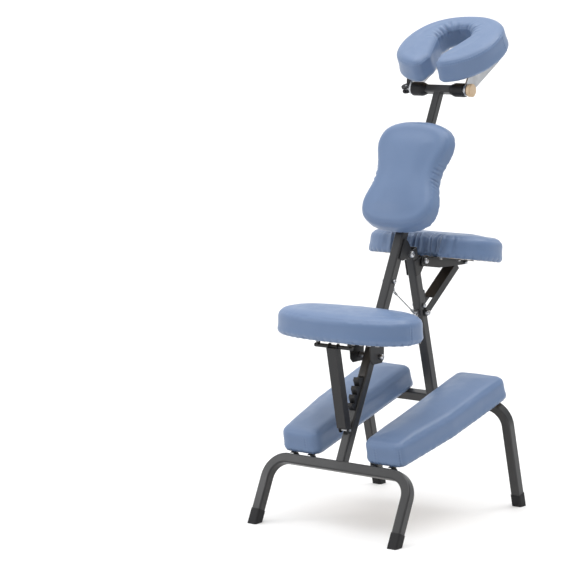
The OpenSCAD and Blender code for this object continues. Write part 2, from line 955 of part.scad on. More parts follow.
rear_frame();
rear_feet();
rear_hinge_bracket();
hinge_pin();
seat_rack();
seat_pivot_bolt();
post_collar();
rear_cable_bolt();
restraint_cable();
front_frame();
front_feet();
front_hinge_knuckle();
armrest_ears();
armrest_pivot_bolt();
armrest_stop();
front_cable_bolt();
armrest_strut_bolt();
armrest_strut();
armrest_bracket();
armrest_end_bolt();
armrest_board();
armrest_pad();
armrest_screws();
seat_bracket();
seat_crossbar();
seat_board();
seat_pad();
seat_screws();
seat_strut();
seat_strut_bolt();
left_knee_clips();
left_knee_board();
left_knee_pad();
right_knee_clips();
right_knee_board();
right_knee_pad();
chest_sleeve();
chest_plate();
chest_board();
chest_pad();
chest_screws();
chest_knob();
height_knob();
head_post();
tbar_fittings();
clamp_rod();
lever_pin();
cam_lever();
wood_knob();
cradle_washers();
cradle_arms();
cradle_base();
face_cushion();
cradle_screws();
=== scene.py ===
"""The looks of a kneeling massage chair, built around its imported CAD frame.

Lengths are in metres and places are in the row frame: X is the sitter's right,
Y the way the sitter faces, Z up. The cushions are remeshed from their CAD solids,
rolled at the edge, blown up as cloth, then creased and sewn in code.
"""

import json
import math

import bmesh
import bpy
import numpy as np
from mathutils import Matrix, Vector, noise

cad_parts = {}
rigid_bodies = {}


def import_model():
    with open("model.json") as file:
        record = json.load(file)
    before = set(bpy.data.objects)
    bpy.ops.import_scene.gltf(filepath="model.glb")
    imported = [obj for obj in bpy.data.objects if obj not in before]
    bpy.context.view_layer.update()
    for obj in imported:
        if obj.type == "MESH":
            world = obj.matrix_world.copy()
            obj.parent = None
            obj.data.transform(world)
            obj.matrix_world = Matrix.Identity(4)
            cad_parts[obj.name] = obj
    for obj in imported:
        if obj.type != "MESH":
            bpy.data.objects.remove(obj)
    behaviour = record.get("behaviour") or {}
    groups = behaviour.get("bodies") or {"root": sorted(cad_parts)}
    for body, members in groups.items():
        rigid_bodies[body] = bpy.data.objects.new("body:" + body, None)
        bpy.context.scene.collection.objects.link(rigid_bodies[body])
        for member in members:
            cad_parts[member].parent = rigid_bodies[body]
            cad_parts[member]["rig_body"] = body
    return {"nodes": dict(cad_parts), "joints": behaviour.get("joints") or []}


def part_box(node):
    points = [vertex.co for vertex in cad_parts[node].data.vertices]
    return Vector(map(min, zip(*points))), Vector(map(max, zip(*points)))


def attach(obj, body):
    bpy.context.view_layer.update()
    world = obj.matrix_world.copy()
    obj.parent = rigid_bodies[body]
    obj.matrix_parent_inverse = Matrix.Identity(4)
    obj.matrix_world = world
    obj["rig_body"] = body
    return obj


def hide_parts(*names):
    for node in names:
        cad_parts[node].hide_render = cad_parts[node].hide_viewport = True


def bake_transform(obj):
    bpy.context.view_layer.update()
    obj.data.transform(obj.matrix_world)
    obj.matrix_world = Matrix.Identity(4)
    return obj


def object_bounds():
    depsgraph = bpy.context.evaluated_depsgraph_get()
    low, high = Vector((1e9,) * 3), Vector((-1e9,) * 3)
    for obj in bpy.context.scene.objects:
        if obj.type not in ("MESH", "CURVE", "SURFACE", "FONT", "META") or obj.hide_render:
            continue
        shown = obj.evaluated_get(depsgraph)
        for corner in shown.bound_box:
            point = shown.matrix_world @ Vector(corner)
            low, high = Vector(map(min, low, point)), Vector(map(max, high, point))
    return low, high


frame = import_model()
CAD_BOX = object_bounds()
NODES = frame["nodes"]
JOINTS = {joint["name"]: joint for joint in frame["joints"]}

UP = Vector((0, 0, 1))
REARWARD = Vector((0, -1, 0))
X_AXIS = Vector((1, 0, 0))


# ---- Shader nodes ----------------------------------------------------------


def new_material(name):
    """A new material, its node tree and its Principled shader."""
    material = bpy.data.materials.new(name)
    material.use_nodes = True
    tree = material.node_tree
    return material, tree, tree.nodes["Principled BSDF"]


def set_sockets(node, values):
    """Sets a node's inputs by name; a socket among the values is linked."""
    for key, value in values.items():
        if isinstance(value, bpy.types.NodeSocket):
            node.id_data.links.new(value, node.inputs[key])
        else:
            node.inputs[key].default_value = value


def add(tree, kind, values, **settings):
    """A shader node with its settings and inputs."""
    node = tree.nodes.new(kind)
    for key, value in settings.items():
        setattr(node, key, value)
    set_sockets(node, values)
    return node


def object_point(tree, stretch=(1, 1, 1), turn=(0, 0, 0)):
    """The point in the row frame at rest, scaled along its axes after a turn."""
    coords = tree.nodes.new("ShaderNodeTexCoord").outputs["Object"]
    turned = add(tree, "ShaderNodeMapping", {"Vector": coords, "Rotation": turn})
    scaled = {"Vector": turned.outputs[0], "Scale": stretch}
    return add(tree, "ShaderNodeMapping", scaled).outputs[0]


def noise_value(tree, point, scale, detail=3.0, roughness=0.5):
    """A noise from 0 to 1, with its largest features 1/scale across."""
    values = {"Vector": point, "Scale": scale, "Detail": detail, "Roughness": roughness}
    return add(tree, "ShaderNodeTexNoise", values).outputs["Fac"]


def remap(tree, value, old, new):
    """Maps the range old to the range new, and stops at its ends."""
    values = {
        "Value": value,
        "From Min": old[0],
        "From Max": old[1],
        "To Min": new[0],
        "To Max": new[1],
    }
    return add(tree, "ShaderNodeMapRange", values).outputs["Result"]


def mixed(tree, factor, first, second):
    """One colour turning into another as the factor goes from 0 to 1."""
    node = tree.nodes.new("ShaderNodeMix")
    node.data_type = "RGBA"
    tree.links.new(factor, node.inputs[0])
    for index, colour in ((6, first), (7, second)):
        if isinstance(colour, bpy.types.NodeSocket):
            tree.links.new(colour, node.inputs[index])
        else:
            node.inputs[index].default_value = (*colour, 1)
    return node.outputs[2]


def bumped(tree, height, distance, strength, under=None):
    """A normal raised by a height; under is the normal of a bump beneath it."""
    values = {"Height": height, "Distance": distance, "Strength": strength}
    if under is not None:
        values["Normal"] = under
    return add(tree, "ShaderNodeBump", values).outputs["Normal"]


def turning(tree, low, high):
    """0 on flats and 1 on crests, or in hollows if high is under 0.5, on fine meshes."""
    geometry = tree.nodes.new("ShaderNodeNewGeometry")
    return remap(tree, geometry.outputs["Pointiness"], (low, high), (0, 1))


def softened_edges(tree, radius):
    """A normal rounded near edges, and a mask that is 1 at the edges, on CAD solids."""
    rounded = add(tree, "ShaderNodeBevel", {"Radius": radius}, samples=4).outputs["Normal"]
    geometry = tree.nodes.new("ShaderNodeNewGeometry")
    values = {0: rounded, 1: geometry.outputs["Normal"]}
    same = add(tree, "ShaderNodeVectorMath", values, operation="DOT_PRODUCT").outputs["Value"]
    return rounded, remap(tree, same, (0.99, 0.80), (0, 1))


# ---- Materials -------------------------------------------------------------


LEATHER = (0.108, 0.168, 0.290)
LEATHER_LIGHT = (0.122, 0.184, 0.310)
# The crest colour below is rub wear and a painted highlight; the hollow colour is painted shade in
# the creases.
LEATHER_CREST_WEAR_AND_HIGHLIGHT = (0.155, 0.220, 0.350)
LEATHER_HOLLOW_PAINTED_SHADE = (0.066, 0.106, 0.200)


def vinyl_material():
    """Slate-blue synthetic leather: fine pebble grain, satin, a little uneven; crests lighter as rub
    wear and a painted highlight, creases darker as painted shade.
    """
    material, tree, shader = new_material("blue_vinyl")
    point = object_point(tree)
    broad = noise_value(tree, point, 7, 2)
    base = mixed(tree, remap(tree, broad, (0.3, 0.7), (0, 1)), LEATHER, LEATHER_LIGHT)
    # Crests painted lighter: partly rub wear, partly a painted highlight.
    base = mixed(tree, turning(tree, 0.505, 0.56), base, LEATHER_CREST_WEAR_AND_HIGHLIGHT)
    # Creases painted darker: painted shade.
    base = mixed(tree, turning(tree, 0.495, 0.44), base, LEATHER_HOLLOW_PAINTED_SHADE)
    rubbed = noise_value(tree, point, 38, 4)
    pebbles = add(
        tree,
        "ShaderNodeTexVoronoi",
        {"Vector": point, "Scale": 620, "Smoothness": 0.35},
        feature="SMOOTH_F1",
    ).outputs["Distance"]
    pores = noise_value(tree, point, 1500, 2)
    slack = noise_value(tree, point, 26, 2)
    normal = bumped(tree, slack, 0.0012, 0.22)
    normal = bumped(tree, pebbles, 0.00022, 0.55, normal)
    normal = bumped(tree, pores, 0.00006, 0.35, normal)
    set_sockets(
        shader,
        {
            "Base Color": base,
            "Roughness": remap(tree, rubbed, (0.3, 0.7), (0.38, 0.50)),
            "Specular IOR Level": 0.40,
            "Coat Weight": 0.12,
            "Coat Roughness": 0.30,
            "Sheen Weight": 0.03,
            "Sheen Roughness": 0.4,
            "Normal": normal,
        },
    )
    return material


def coated_steel_material(name, colour, edge_wear_and_highlight, roughness):
    """Powder-coated steel: orange-peel skin, satin, lighter along the edges as rub wear and a painted
    highlight.
    """
    material, tree, shader = new_material(name)
    point = object_point(tree)
    rounded, edge = softened_edges(tree, 0.0012)
    cloud = noise_value(tree, point, 9, 3)
    lighter = tuple(1.18 * value for value in colour)
    base = mixed(tree, remap(tree, cloud, (0.3, 0.7), (0, 1)), colour, lighter)
    scuffs = noise_value(tree, point, 120, 5, 0.7)
    # The edge mask, broken up by scuffs, carries both rub wear and a painted highlight along the
    # corners.
    rubbed = remap(tree, scuffs, (0.45, 0.70), (0.1, 0.9))
    values = {0: edge, 1: rubbed}
    rubbed = add(tree, "ShaderNodeMath", values, operation="MULTIPLY").outputs[0]
    # Edges painted lighter: partly rub wear, partly a painted highlight.
    base = mixed(tree, rubbed, base, edge_wear_and_highlight)
    peel = noise_value(tree, point, 620, 2)
    fine = noise_value(tree, point, 2600, 1)
    normal = bumped(tree, peel, 0.00010, 0.35, rounded)
    gloss = remap(tree, cloud, (0.35, 0.65), (roughness - 0.04, roughness + 0.04))
    set_sockets(
        shader,
        {
            "Base Color": base,
            "Roughness": gloss,
            "Specular IOR Level": 0.45,
            "Normal": bumped(tree, fine, 0.00003, 0.3, normal),
        },
    )
    return material


def moulded_material(name, colour, roughness, grain):
    """Moulded plastic or rubber with a fine eroded grain and soft dusty edges."""
    material, tree, shader = new_material(name)
    point = object_point(tree)
    rounded, edge = softened_edges(tree, 0.0010)
    cloud = noise_value(tree, point, 24, 3)
    dusty = tuple(1.5 * value + 0.002 for value in colour)
    rubbed = tuple(value + 0.02 for value in colour)
    base = mixed(tree, remap(tree, cloud, (0.45, 0.75), (0, 0.6)), colour, dusty)
    base = mixed(tree, edge, base, rubbed)
    texture = noise_value(tree, point, grain, 3, 0.6)
    set_sockets(
        shader,
        {
            "Base Color": base,
            "Roughness": remap(tree, cloud, (0.3, 0.7), (roughness - 0.06, roughness + 0.08)),
            "Specular IOR Level": 0.35,
            "Normal": bumped(tree, texture, 0.00012, 0.45, rounded),
        },
    )
    return material


def bright_metal_material(name, colour, roughness, stretch):
    """Bare or plated metal, brushed along the axis that stretch leaves longest."""
    material, tree, shader = new_material(name)
    brushed = noise_value(tree, object_point(tree, stretch), 1, 4, 0.65)
    point = object_point(tree)
    cloud = noise_value(tree, point, 45, 3)
    darker = tuple(0.72 * value for value in colour)
    base = mixed(tree, remap(tree, cloud, (0.35, 0.75), (0, 0.8)), colour, darker)
    rounded, edge = softened_edges(tree, 0.0006)
    lighter = tuple(min(1.0, 1.25 * value) for value in colour)
    base = mixed(tree, edge, base, lighter)
    set_sockets(
        shader,
        {
            "Base Color": base,
            "Metallic": 1.0,
            "Roughness": remap(tree, brushed, (0.3, 0.7), (roughness - 0.07, roughness + 0.09)),
            "Normal": bumped(tree, brushed, 0.00005, 0.45, rounded),
        },
    )
    return material


def grain_colour(tree, stretch, light, dark, turn=(0, 0, 0)):
    """Wood figure: long fibres over slow bands, and the fibres' height."""
    fibres = noise_value(tree, object_point(tree, stretch, turn), 1, 6, 0.7)
    slow = tuple(0.14 * value for value in stretch)
    bands = noise_value(tree, object_point(tree, slow, turn), 1, 3, 0.5)
    base = mixed(tree, remap(tree, bands, (0.35, 0.65), (0, 1)), light, dark)
    pores = remap(tree, fibres, (0.52, 0.68), (0, 0.75))
    return mixed(tree, pores, base, tuple(0.55 * value for value in dark)), fibres


def plywood_material(name, normal_turn, light, dark):
    """Plywood: the veneers show as stripes on the sawn edge, the figure on the face."""
    material, tree, shader = new_material(name)
    face, fibres = grain_colour(tree, (14, 190, 190), light, dark, normal_turn)
    point = object_point(tree, turn=normal_turn)
    axes = add(tree, "ShaderNodeSeparateXYZ", {"Vector": point}).outputs
    stripes_per_metre = 437.5
    values = {0: axes["Z"], 1: stripes_per_metre * math.tau}
    phase = add(tree, "ShaderNodeMath", values, operation="MULTIPLY").outputs[0]
    stripe = add(tree, "ShaderNodeMath", {0: phase}, operation="SINE").outputs[0]
    geometry = tree.nodes.new("ShaderNodeNewGeometry")
    facing = add(
        tree,
        "ShaderNodeMapping",
        {"Vector": geometry.outputs["Normal"], "Rotation": normal_turn},
        vector_type="NORMAL",
    )
    across = add(tree, "ShaderNodeSeparateXYZ", {"Vector": facing.outputs[0]}).outputs["Z"]
    level = add(tree, "ShaderNodeMath", {0: across}, operation="ABSOLUTE").outputs[0]
    sawn = remap(tree, level, (0.6, 0.3), (0, 1))
    glue_line = tuple(0.62 * value for value in dark)
    edge = mixed(tree, remap(tree, stripe, (-0.25, 0.25), (0, 1)), light, glue_line)
    set_sockets(
        shader,
        {
            "Base Color": mixed(tree, sawn, face, edge),
            "Roughness": remap(tree, fibres, (0.3, 0.7), (0.5, 0.68)),
            "Normal": bumped(tree, fibres, 0.00025, 0.5),
        },
    )
    return material


def beech_material():
    """Turned beech with a thin varnish."""
    material, tree, shader = new_material("beech")
    base, fibres = grain_colour(tree, (60, 520, 130), (0.63, 0.47, 0.30), (0.52, 0.36, 0.21))
    set_sockets(
        shader,
        {
            "Base Color": base,
            "Roughness": remap(tree, fibres, (0.3, 0.7), (0.36, 0.5)),
            "Coat Weight": 0.25,
            "Coat Roughness": 0.25,
            "Normal": bumped(tree, fibres, 0.00012, 0.4),
        },
    )
    return material


def floor_material():
    """A pale, matt studio floor with a faint unevenness."""
    material, tree, shader = new_material("studio_floor")
    cloud = noise_value(tree, object_point(tree), 1.4, 3)
    shade = remap(tree, cloud, (0.3, 0.7), (0, 1))
    set_sockets(
        shader,
        {
            "Base Color": mixed(tree, shade, (0.64, 0.64, 0.64), (0.67, 0.67, 0.67)),
            "Roughness": 0.6,
            "Specular IOR Level": 0.2,
            "Emission Color": (1, 1, 1, 1),
            "Emission Strength": 0.18,
        },
    )
    return material


def turn_flat(normal):
    """The turn about X that lays a surface with this normal flat."""
    return (math.atan2(normal.y, normal.z), 0, 0)


# ---- Cushions: measuring the CAD solids -------------------------------------


def widest_normal(node, towards):
    """The normal of a solid's widest face among those that look a given way."""
    mesh = NODES[node].data
    count = len(mesh.polygons)
    normals = np.empty(count * 3)
    areas = np.empty(count)
    mesh.polygons.foreach_get("normal", normals)
    mesh.polygons.foreach_get("area", areas)
    normals = normals.reshape(-1, 3)
    right_way = normals @ np.array(towards) > 0.5
    keys = np.round(normals, 2)
    widest, best = 0.0, normals[0]
    for key in np.unique(keys[right_way], axis=0):
        same = (keys == key).all(axis=1)
        if areas[same].sum() > widest:
            widest = areas[same].sum()
            best = np.average(normals[same], axis=0, weights=areas[same])
    return Vector(best).normalized()


class Pad:
    """A cushion's CAD solid in its own axes: x is X, z is its normal, z = 0 its underside."""

    def __init__(self, node, towards):
        self.node = node
        self.normal = widest_normal(node, towards)
        axes = Matrix((X_AXIS, self.normal.cross(X_AXIS), self.normal))
        mesh = bmesh.new()
        mesh.from_mesh(NODES[node].data)
        bmesh.ops.remove_doubles(mesh, verts=mesh.verts, dist=1e-5)
        bmesh.ops.dissolve_limit(
            mesh, angle_limit=math.radians(1), verts=mesh.verts, edges=mesh.edges
        )
        turned = [axes @ vertex.co for vertex in mesh.verts]
        low = [min(point[axis] for point in turned) for axis in range(3)]
        high = [max(point[axis] for point in turned) for axis in range(3)]
        origin = Vector(((low[0] + high[0]) / 2, (low[1] + high[1]) / 2, low[2]))
        self.height = high[2] - low[2]
        self.to_local = Matrix.Translation(-origin) @ axes.to_4x4()
        self.to_frame = self.to_local.inverted()
        bmesh.ops.transform(mesh, matrix=self.to_local, verts=mesh.verts)
        mesh.normal_update()
        top = max(
            (face for face in mesh.faces if face.normal.z > 0.9),
            key=lambda face: face.calc_area(),
        )
        self.outline = np.array([vertex.co[:2] for vertex in top.verts])
        self.solid = bpy.data.meshes.new(node + "_solid")
        mesh.to_mesh(self.solid)
        mesh.free()
        ends = np.roll(self.outline, -1, axis=0)
        self.runs = ends - self.outline
        self.lengths = np.linalg.norm(self.runs, axis=1)
        self.starts = np.concatenate([[0], np.cumsum(self.lengths)[:-1]])
        self.girth = self.lengths.sum()
        sides = np.stack([-self.runs[:, 1], self.runs[:, 0]], axis=1)
        sides /= self.lengths[:, None]
        corners = sides + np.roll(sides, 1, axis=0)
        self.corners = corners / np.linalg.norm(corners, axis=1)[:, None]

    def measure(self, xy):
        """How deep each point is inside the outline, the inward way, and its place along it."""
        depth = np.empty(len(xy))
        inward = np.empty((len(xy), 2))
        place = np.empty(len(xy))
        ends = self.outline + self.runs
        batch = 4000
        for first in range(0, len(xy), batch):
            part = slice(first, first + batch)
            points = xy[part]
            rows = np.arange(len(points))
            offset = points[:, None] - self.outline[None]
            along = (offset * self.runs).sum(axis=2) / self.lengths**2
            along = np.clip(along, 0, 1)
            apart = np.linalg.norm(offset - along[..., None] * self.runs, axis=2)
            nearest = apart.argmin(axis=1)
            t = along[rows, nearest]
            rise = np.where(self.runs[:, 1] == 0, 1e-12, self.runs[:, 1])
            spans = (self.outline[:, 1] > points[:, 1:]) != (ends[:, 1] > points[:, 1:])
            crossing = self.outline[:, 0] + offset[..., 1] / rise * self.runs[:, 0]
            inside = (spans & (points[:, :1] < crossing)).sum(axis=1) % 2 == 1
            depth[part] = apart[rows, nearest] * np.where(inside, 1, -1)
            after = (nearest + 1) % len(self.outline)
            inward[part] = (1 - t)[:, None] * self.corners[nearest] + t[:, None] * self.corners[after]
            place[part] = self.starts[nearest] + t * self.lengths[nearest]
        return depth, inward, place

    def place_of(self, x, y):
        """The place along the outline that is nearest to a point."""
        return self.measure(np.array([[x, y]]))[2][0]

    def at(self, place, inset):
        """The point and the direction of the outline at a place along it."""
        place %= self.girth
        index = int(np.searchsorted(self.starts, place, side="right")) - 1
        t = (place - self.starts[index]) / self.lengths[index]
        point = self.outline[index] + t * self.runs[index]
        way = self.runs[index] / self.lengths[index]
        side = np.array([-way[1], way[0]])
        return point + side * inset, way


# ---- Cushions: shaping -------------------------------------------------------


def coordinates(mesh):
    """A mesh's vertices as an array of rows."""
    flat = np.empty(len(mesh.vertices) * 3)
    mesh.vertices.foreach_get("co", flat)
    return flat.reshape(-1, 3)


def vertex_normals(mesh):
    """A mesh's vertex normals as an array of rows."""
    flat = np.empty(len(mesh.vertices) * 3)
    mesh.vertex_normals.foreach_get("vector", flat)
    return flat.reshape(-1, 3)


def move_to(mesh, points):
    """Puts a mesh's vertices at the given rows."""
    mesh.vertices.foreach_set("co", points.astype(np.float32).ravel())
    mesh.update()


def applied(obj, **modifiers):
    """Replaces an object's mesh by the result of modifiers, given as kind=settings."""
    for kind, settings in modifiers.items():
        modifier = obj.modifiers.new(kind, kind)
        for key, value in settings.items():
            setattr(modifier, key, value)
    graph = bpy.context.evaluated_depsgraph_get()
    mesh = bpy.data.meshes.new_from_object(obj.evaluated_get(graph))
    obj.modifiers.clear()
    obj.data = mesh
    return obj


def smooth_step(value, start, end):
    """0 before start and 1 after end, easing in between."""
    t = np.clip((value - start) / (end - start), 0, 1)
    return t * t * (3 - 2 * t)


def roll_edges(pad, points, look):
    """Rounds the box-like solid: a wide roll at the top edge, a tight one below."""
    depth, inward, _ = pad.measure(points[:, :2])
    down, into = look["roll_down"], look["roll_in"]
    fullness = 0.84
    under = (points[:, 2] < look["pocket"] + 0.002) & (depth > 0.004)
    path = np.clip(depth - (pad.height - points[:, 2]), -down, into)
    turn = (path + down) / (into + down) * math.pi / 2
    shift_in = into * (1 - np.cos(turn) ** fullness) - np.maximum(path, 0)
    shift_down = down * (1 - np.sin(turn) ** fullness) - np.maximum(-path, 0)
    shift_in[under] = 0
    shift_down[under] = 0
    crown = look["crown"] * (1 - np.exp(-((np.maximum(path, 0) / into) ** 2)))
    crown += look["crown"] * smooth_step(depth, into, 3 * into)
    crown[under] = 0
    hem = look["hem"]
    low = np.clip(depth - points[:, 2], -hem, hem)
    at_hem = (points[:, 2] < hem + 0.001) & (depth < hem + 0.001)
    lap = (hem - low) / (2 * hem) * math.pi / 2
    hem_in = np.where(at_hem, hem * (1 - np.cos(math.pi / 2 - lap)) - np.maximum(low, 0), 0)
    hem_up = np.where(at_hem, hem * (1 - np.sin(math.pi / 2 - lap)) - np.maximum(-low, 0), 0)
    rolled = points.copy()
    rolled[:, :2] += inward * (shift_in + hem_in)[:, None]
    rolled[:, 2] += crown - shift_down + hem_up
    return rolled


def evened(mesh, field, rounds):
    """Averages a field of vectors with its neighbours' along the edges, several times."""
    edges = np.empty(len(mesh.edges) * 2, dtype=np.int64)
    mesh.edges.foreach_get("vertices", edges)
    one, other = edges.reshape(-1, 2).T
    count = len(mesh.vertices)
    shared = np.bincount(one, minlength=count) + np.bincount(other, minlength=count)
    for _ in range(rounds):
        total = np.stack(
            [
                np.bincount(one, field[other, axis], count)
                + np.bincount(other, field[one, axis], count)
                for axis in range(3)
            ],
            axis=1,
        )
        field = 0.5 * field + 0.5 * total / shared[:, None]
    return field


def inflate(obj, look):
    """Blows the cover up as cloth held at its hem; it moves outward only, up to a cap."""
    last_frame = 20
    start = coordinates(obj.data)
    held = start[:, 2] < look["pocket"] + 0.006
    free = 1 - held.astype(float)
    free *= smooth_step(start[:, 2], look["pocket"], look["pocket"] + 0.02)
    outward = vertex_normals(obj.data)
    small = start - outward * (look["tuck"] * free)[:, None]
    move_to(obj.data, small)
    group = obj.vertex_groups.new(name="hem")
    group.add([int(index) for index in np.nonzero(held)[0]], 1.0, "REPLACE")
    cloth = obj.modifiers.new("Cloth", "CLOTH")
    settings = cloth.settings
    settings.quality = 5
    settings.mass = 0.25
    settings.tension_stiffness = 18
    settings.compression_stiffness = 18
    settings.bending_stiffness = 4
    settings.shrink_min = look["taut"]
    settings.use_pressure = True
    settings.uniform_pressure_force = 4
    settings.vertex_group_mass = "hem"
    settings.effector_weights.gravity = 0
    cloth.collision_settings.use_collision = False
    cloth.point_cache.frame_start = 1
    cloth.point_cache.frame_end = last_frame
    scene = bpy.context.scene
    for step in range(1, last_frame + 1):
        scene.frame_set(step)
    graph = bpy.context.evaluated_depsgraph_get()
    blown = coordinates(obj.evaluated_get(graph).data)
    obj.modifiers.clear()
    obj.vertex_groups.clear()
    scene.frame_set(1)
    move = blown - small
    sunk = np.minimum((move * outward).sum(axis=1), 0)
    move = evened(obj.data, move - outward * sunk[:, None], rounds=look["even"])
    far = np.linalg.norm(move, axis=1)
    kept = look["swell"] * np.tanh(far / look["swell"]) / np.maximum(far, 1e-9)
    move_to(obj.data, small + move * kept[:, None])


def relief(pad, points):
    """What the creases and seams are placed by, for each point of a finished cover."""
    depth, _, place = pad.measure(points[:, :2])
    across = points[:, 2] + np.maximum(depth, 0)
    return {
        "height": points[:, 2],
        "depth": depth,
        "place": place,
        "across": across,
        "edge": depth - (pad.height - points[:, 2]),
        "girth": pad.girth,
    }


def round_trip(field, place):
    """How far each point is along the outline from a place, the shorter way round."""
    half = field["girth"] / 2
    return (field["place"] - place + half) % field["girth"] - half


def gathers(field, rng, place, count, pitch, width, deep, low, high, slant=0.0):
    """Creases that run up the side and over the edge, as where a cover is pulled tight."""
    lift = np.zeros(len(field["place"]))
    middle = (count - 1) / 2
    for index in range(count):
        away = (index - middle) / max(middle, 1)
        centre = place + (index - middle + rng.uniform(-0.36, 0.36)) * pitch
        half = width * rng.uniform(0.6, 1.5)
        size = deep * (1 - 0.55 * away**2) * rng.uniform(0.5, 1.15)
        lean = slant + rng.uniform(-0.14, 0.14)
        top = high * rng.uniform(0.86, 1.04)
        across = field["across"] - (low + top) / 2
        off = round_trip(field, centre) - lean * across
        half = half * (1.3 - 0.6 * smooth_step(field["across"], low, top))
        fade = smooth_step(field["across"], low, low + 0.012)
        fade *= 1 - smooth_step(field["across"], top - 0.024, top)
        groove = np.exp(-((off / half) ** 2))
        ridges = np.exp(-(((np.abs(off) - 1.9 * half) / (1.1 * half)) ** 2))
        lift += size * fade * (0.45 * ridges - groove)
    return lift


def sewn_line(offset, along, width=0.0016, deep=0.0011, pitch=0.007, pucker=0.00035):
    """A turned seam: a groove with the cover puckered on both sides of it."""
    groove = -deep * np.exp(-((offset / width) ** 2))
    lips = 0.45 * deep * np.exp(-(((np.abs(offset) - 2.1 * width) / (1.3 * width)) ** 2))
    ripple = pucker * np.cos(along / pitch * math.tau) * np.exp(-((offset / (4 * width)) ** 2))
    return groove + lips + ripple


def stapled_hem(field, pitch=0.021):
    """Tucks between the staples under the board, which scallop the lower edge."""
    wave = np.abs(np.sin(field["place"] / pitch * math.pi)) ** 0.7
    near = 1 - smooth_step(field["height"], 0.002, 0.019)
    return -0.0019 * (1 - wave) * near * (field["depth"] < 0.008)


def slack(points, scale, size, seed):
    """Slow unevenness of the foam under the cover."""
    shift = Vector((seed, 2.7 * seed, -1.3 * seed))
    return size * np.array([noise.noise(Vector(point) * scale + shift) for point in points])


def make_cover(name, body, pad, look, creases):
    """A cushion's cover, made from its CAD solid, which it replaces."""
    obj = bpy.data.objects.new(name, pad.solid)
    bpy.context.scene.collection.objects.link(obj)
    applied(obj, REMESH={"mode": "VOXEL", "voxel_size": look["voxel"], "use_smooth_shade": True})
    move_to(obj.data, roll_edges(pad, coordinates(obj.data), look))
    inflate(obj, look)
    applied(obj, SUBSURF={"levels": 1, "render_levels": 1})
    points = coordinates(obj.data)
    field = relief(pad, points)
    lift = creases(pad, field)
    lift += slack(points, 17, 0.0007, look["seed"]) * smooth_step(field["height"], 0.004, 0.03)
    move_to(obj.data, points + vertex_normals(obj.data) * lift[:, None])
    obj.data.transform(pad.to_frame)
    obj.data.polygons.foreach_set("use_smooth", [True] * len(obj.data.polygons))
    obj.data.materials.clear()
    obj.data.materials.append(VINYL)
    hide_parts(pad.node)
    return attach(obj, body)


# ---- Cushions: the six of them -----------------------------------------------

LOOK = {
    "voxel": 0.005,
    "roll_in": 0.030,
    "roll_down": 0.024,
    "crown": 0.003,
    "hem": 0.007,
    "pocket": 0.008,
    "tuck": 0.002,
    "taut": 0.01,
    "even": 26,
    "swell": 0.008,
    "fill": 0.8,
    "seed": 1.0,
}


def seat_creases(pad, field):
    """A smooth seat, stapled underneath, with a seam up each end."""
    lift = stapled_hem(field)
    rise = 1 - smooth_step(field["across"], 0.042, 0.056)
    half = pad.outline[:, 0].max()
    for side in (-1, 1):
        offset = round_trip(field, pad.place_of(side * half, -0.02))
        lift += sewn_line(offset, field["height"]) * rise
    return lift


def armrest_creases(pad, field):
    """Deep gathers in the bay behind the post, and softer ones on its shoulders."""
    rng = np.random.default_rng(7)
    rear = pad.outline[:, 1].min()
    lift = stapled_hem(field)
    bay = pad.place_of(0, rear + 0.05)
    top = pad.height + 0.034
    lift += gathers(field, rng, bay, 7, 0.0185, 0.0050, 0.0060, 0.002, top)
    for side in (-1, 1):
        shoulder = pad.place_of(side * 0.078, rear)
        lift += gathers(field, rng, shoulder, 4, 0.019, 0.0062, 0.0030, 0.004, top - 0.008)
    return lift


def knee_creases(pad, field):
    """Sewn corners at both ends, and the stapled lower edge."""
    lift = stapled_hem(field) * 0.6
    rise = 1 - smooth_step(field["across"], 0.040, 0.052)
    for x in (-0.036, 0.036):
        for end in (pad.outline[:, 1].min(), pad.outline[:, 1].max()):
            offset = round_trip(field, pad.place_of(x, end))
            lift += sewn_line(offset, field["height"]) * rise
    return lift


def chest_creases(pad, field):
    """Short gathers where the cover is drawn in at both sides of the waist."""
    rng = np.random.default_rng(11)
    lift = stapled_hem(field) * 0.7
    for side in (-1, 1):
        waist = pad.place_of(side * 0.09, 0.0)
        top = pad.height + 0.012
        lift += gathers(field, rng, waist, 6, 0.0115, 0.0030, 0.0030, 0.010, top, 0.08 * side)
    return lift


def face_creases(pad, field):
    """A faint seam round the top panel, one up each flank, and creases round the opening."""
    rng = np.random.default_rng(23)
    lift = sewn_line(field["edge"] + 0.006, field["place"], 0.0016, 0.0005, pucker=0.0002)
    top = pad.height + 0.036
    for side, size in ((-1, 1.0), (1, 0.35)):
        inner = pad.place_of(side * 0.038, 0.044)
        lift += gathers(field, rng, inner, 6, 0.0125, 0.0040, 0.0054 * size, 0.036, top)
        flank = round_trip(field, pad.place_of(side * 0.14, 0.03))
        lift += sewn_line(flank, field["height"]) * (1 - smooth_step(field["edge"], -0.006, 0))
    back = pad.place_of(0, 0.066)
    lift += gathers(field, rng, back, 4, 0.015, 0.0045, 0.0014, 0.03, top - 0.014)
    return lift


